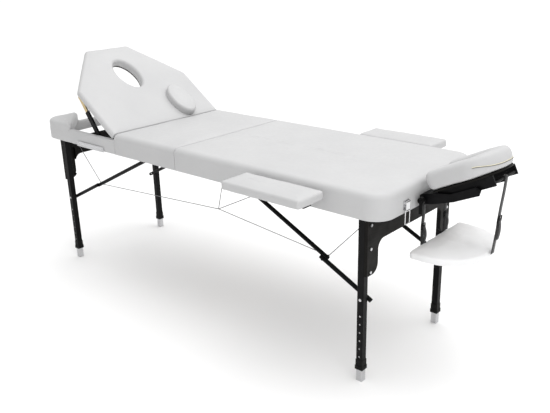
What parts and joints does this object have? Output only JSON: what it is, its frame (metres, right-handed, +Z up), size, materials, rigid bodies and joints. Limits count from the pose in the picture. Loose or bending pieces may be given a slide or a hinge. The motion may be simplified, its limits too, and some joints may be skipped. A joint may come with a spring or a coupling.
{
  "type": "portable treatment bed",
  "caption": "Folding padded treatment bed with a raised backrest, face openings, armrests, a face cradle with an arm shelf, and height-adjustable legs.",
  "frame": {"origin": "on the floor, below the middle of the bounding box", "axes": "+X along the table to the face cradle, +Y to the far side, +Z up"},
  "size_m": [2.1254, 0.924, 0.997],
  "materials": {
    "vinyl": "smooth white artificial leather, soft sheen",
    "frame_wood": "plain beech, satin",
    "panel_black": "black stained plywood, satin",
    "steel_black": "black powder coat",
    "steel_bright": "zinc plated",
    "zinc_yellow": "yellow zinc plated",
    "aluminium": "satin",
    "chrome": "polished",
    "plastic_black": "fine grain",
    "webbing_black": "woven webbing",
    "webbing_grey": "woven webbing"
  },
  "bodies": {
    "head_half": {"head_side_rails": "frame_wood", "head_cross_rails": "frame_wood", "hinge_rail": "steel_black", "head_panel": "panel_black", "middle_pad": "vinyl", "surround_pad": "vinyl", "backrest_hinge": "steel_bright", "prop_feet": "steel_black", "carry_handle_head": "webbing_grey", "cables_head": "steel_bright"},
    "backrest": {"backrest_panel": "panel_black", "backrest_pad": "vinyl", "backrest_hinge_leaf": "steel_bright", "prop_heads": "steel_black"},
    "plug": {"face_plug": "vinyl"},
    "prop_sleeve": {"prop_sleeves": "steel_black"},
    "prop_bar": {"prop_bars": "zinc_yellow"},
    "links": {"fold_links": "steel_bright", "fold_pins": "steel_bright"},
    "foot_half": {"foot_side_rails": "frame_wood", "foot_cross_rails": "frame_wood", "foot_panel": "panel_black", "foot_pad": "vinyl", "carry_handle_foot": "webbing_grey", "latch_plate": "chrome", "cables_foot": "steel_bright"},
    "legs_head": {"leg_tubes_head": "steel_black", "apron_head": "panel_black", "collars_head": "plastic_black", "leg_hardware_head": "steel_bright"},
    "legs_foot": {"leg_tubes_foot": "steel_black", "apron_foot": "panel_black", "collars_foot": "plastic_black", "leg_hardware_foot": "steel_bright"},
    "struts_up_head": {"upper_struts_head": "steel_black"},
    "struts_up_foot": {"upper_struts_foot": "steel_black"},
    "struts_low_head": {"lower_struts_head": "steel_black"},
    "struts_low_foot": {"lower_struts_foot": "steel_black"},
    "cradle_foot": {"cradle_base": "steel_black", "shelf_straps": "webbing_black"},
    "cradle": {"cradle_arm": "steel_black", "cradle_platform": "panel_black", "cradle_cushion": "vinyl"},
    "cam": {"cam_lever": "plastic_black"},
    "shelf": {"shelf_pad": "vinyl"},
    "outer_strap": {"shelf_outer_strap": "webbing_black"},
    "armrest_near": {"armrest_pad_near": "vinyl", "armrest_arm_near": "steel_black"},
    "armrest_far": {"armrest_pad_far": "vinyl", "armrest_arm_far": "steel_black"},
    "latch_lever": {"latch_lever": "chrome"},
    "latch_loop": {"latch_loop": "chrome"},
    "leg_head_near": {"inner_leg_head_near": "aluminium"},
    "button_head_near": {"lock_button_head_near": "steel_bright"},
    "leg_head_far": {"inner_leg_head_far": "aluminium"},
    "button_head_far": {"lock_button_head_far": "steel_bright"},
    "leg_foot_near": {"inner_leg_foot_near": "aluminium"},
    "button_foot_near": {"lock_button_foot_near": "steel_bright"},
    "leg_foot_far": {"inner_leg_foot_far": "aluminium"},
    "button_foot_far": {"lock_button_foot_far": "steel_bright"}
  },
  "joints": [
    {"name": "backrest_tilt", "type": "hinge", "parent": "head_half", "child": "backrest", "pos_m": [-0.53974, 0, 0.664], "axis": [0, 1, 0], "range_deg": [-35.5, 3]},
    {"name": "plug_lift", "type": "slide", "parent": "backrest", "child": "plug", "axis": [0.5807, 0, 0.8141], "range_m": [0, 0.12]},
    {"name": "prop_swing", "type": "hinge", "parent": "head_half", "child": "prop_sleeve", "pos_m": [-0.65774, 0, 0.64], "axis": [0, 1, 0], "range_deg": [-52.82, 6.84]},
    {"name": "prop_extend", "type": "slide", "parent": "prop_sleeve", "child": "prop_bar", "axis": [-0.5814, 0, 0.8136], "range_m": [-0.0487, 0.0064]},
    {"name": "fold_a", "type": "hinge", "parent": "head_half", "child": "links", "pos_m": [-0.14874, 0, 0.616], "axis": [0, 1, 0], "range_deg": [0, 90], "deforming": ["cables_head", "cables_foot"]},
    {"name": "fold_b", "type": "hinge", "parent": "links", "child": "foot_half", "pos_m": [-0.12674, 0, 0.616], "axis": [0, 1, 0], "range_deg": [0, 90]},
    {"name": "legs_head_fold", "type": "hinge", "parent": "head_half", "child": "legs_head", "pos_m": [-0.98174, 0, 0.634], "axis": [0, 1, 0], "range_deg": [-91, 1]},
    {"name": "legs_foot_fold", "type": "hinge", "parent": "foot_half", "child": "legs_foot", "pos_m": [0.70626, 0, 0.634], "axis": [0, 1, 0], "range_deg": [-1, 91]},
    {"name": "struts_up_head_turn", "type": "hinge", "parent": "head_half", "child": "struts_up_head", "pos_m": [-0.32674, 0, 0.634], "axis": [0, 1, 0], "range_deg": [-1, 28]},
    {"name": "struts_up_foot_turn", "type": "hinge", "parent": "foot_half", "child": "struts_up_foot", "pos_m": [0.05126, 0, 0.634], "axis": [0, 1, 0], "range_deg": [-28, 1]},
    {"name": "struts_low_head_turn", "type": "hinge", "parent": "legs_head", "child": "struts_low_head", "pos_m": [-0.98174, 0, 0.311], "axis": [0, 1, 0], "range_deg": [-66, 1]},
    {"name": "struts_low_foot_turn", "type": "hinge", "parent": "legs_foot", "child": "struts_low_foot", "pos_m": [0.70626, 0, 0.311], "axis": [0, 1, 0], "range_deg": [-1, 66]},
    {"name": "cradle_slide", "type": "slide", "parent": "foot_half", "child": "cradle_foot", "axis": [1, 0, 0], "range_m": [0, 0.08]},
    {"name": "cradle_tilt", "type": "hinge", "parent": "cradle_foot", "child": "cradle", "pos_m": [0.82426, 0, 0.64], "axis": [0, -1, 0], "range_deg": [-25.7, 10]},
    {"name": "cam_turn", "type": "hinge", "parent": "cradle_foot", "child": "cam", "pos_m": [0.82426, -0.109, 0.64], "axis": [0, -1, 0], "range_deg": [0, 90]},
    {"name": "shelf_turn", "type": "hinge", "parent": "cradle_foot", "child": "shelf", "pos_m": [0.81926, 0, 0.472], "axis": [0, -1, 0], "range_deg": [-30, 11]},
    {"name": "outer_strap_turn", "type": "hinge", "parent": "cradle", "child": "outer_strap", "pos_m": [1.04249, 0, 0.7317], "axis": [0, -1, 0], "range_deg": [-8, 21]},
    {"name": "armrest_near_slide", "type": "slide", "parent": "foot_half", "child": "armrest_near", "axis": [0, -1, 0], "range_m": [0, 0.08]},
    {"name": "armrest_far_slide", "type": "slide", "parent": "foot_half", "child": "armrest_far", "axis": [0, 1, 0], "range_m": [0, 0.08]},
    {"name": "latch_turn", "type": "hinge", "parent": "foot_half", "child": "latch_lever", "pos_m": [0.81026, -0.172, 0.65], "axis": [0, -1, 0], "range_deg": [0, 100]},
    {"name": "latch_loop_turn", "type": "hinge", "parent": "latch_lever", "child": "latch_loop", "pos_m": [0.81226, -0.172, 0.622], "axis": [0, -1, 0], "range_deg": [0, 90]},
    {"name": "leg_head_near_extend", "type": "slide", "parent": "legs_head", "child": "leg_head_near", "axis": [0, 0, -1], "range_m": [0, 0.155]},
    {"name": "button_head_near_press", "type": "slide", "parent": "leg_head_near", "child": "button_head_near", "axis": [0, 1, 0], "range_m": [0, 0.005], "stiffness_N_per_m": 600},
    {"name": "leg_head_far_extend", "type": "slide", "parent": "legs_head", "child": "leg_head_far", "axis": [0, 0, -1], "range_m": [0, 0.155]},
    {"name": "button_head_far_press", "type": "slide", "parent": "leg_head_far", "child": "button_head_far", "axis": [0, -1, 0], "range_m": [0, 0.005], "stiffness_N_per_m": 600},
    {"name": "leg_foot_near_extend", "type": "slide", "parent": "legs_foot", "child": "leg_foot_near", "axis": [0, 0, -1], "range_m": [0, 0.155]},
    {"name": "button_foot_near_press", "type": "slide", "parent": "leg_foot_near", "child": "button_foot_near", "axis": [0, 1, 0], "range_m": [0, 0.005], "stiffness_N_per_m": 600},
    {"name": "leg_foot_far_extend", "type": "slide", "parent": "legs_foot", "child": "leg_foot_far", "axis": [0, 0, -1], "range_m": [0, 0.155]},
    {"name": "button_foot_far_press", "type": "slide", "parent": "leg_foot_far", "child": "button_foot_far", "axis": [0, -1, 0], "range_m": [0, 0.005], "stiffness_N_per_m": 600}
  ],
  "couplings": [
    {"joint": "prop_swing", "follows": "backrest_tilt", "ratio": 1.4597},
    {"joint": "prop_extend", "follows": "backrest_tilt", "m_per_rad": 0.07701},
    {"joint": "legs_head_fold", "follows": "fold_a", "ratio": -1},
    {"joint": "legs_foot_fold", "follows": "fold_a", "ratio": 1},
    {"joint": "struts_up_head_turn", "follows": "fold_a", "ratio": 0.29166},
    {"joint": "struts_up_foot_turn", "follows": "fold_a", "ratio": -0.29166},
    {"joint": "struts_low_head_turn", "follows": "fold_a", "ratio": -0.70834},
    {"joint": "struts_low_foot_turn", "follows": "fold_a", "ratio": 0.70834},
    {"joint": "shelf_turn", "follows": "cradle_tilt", "ratio": 1},
    {"joint": "outer_strap_turn", "follows": "cradle_tilt", "ratio": -0.65}
  ]
}
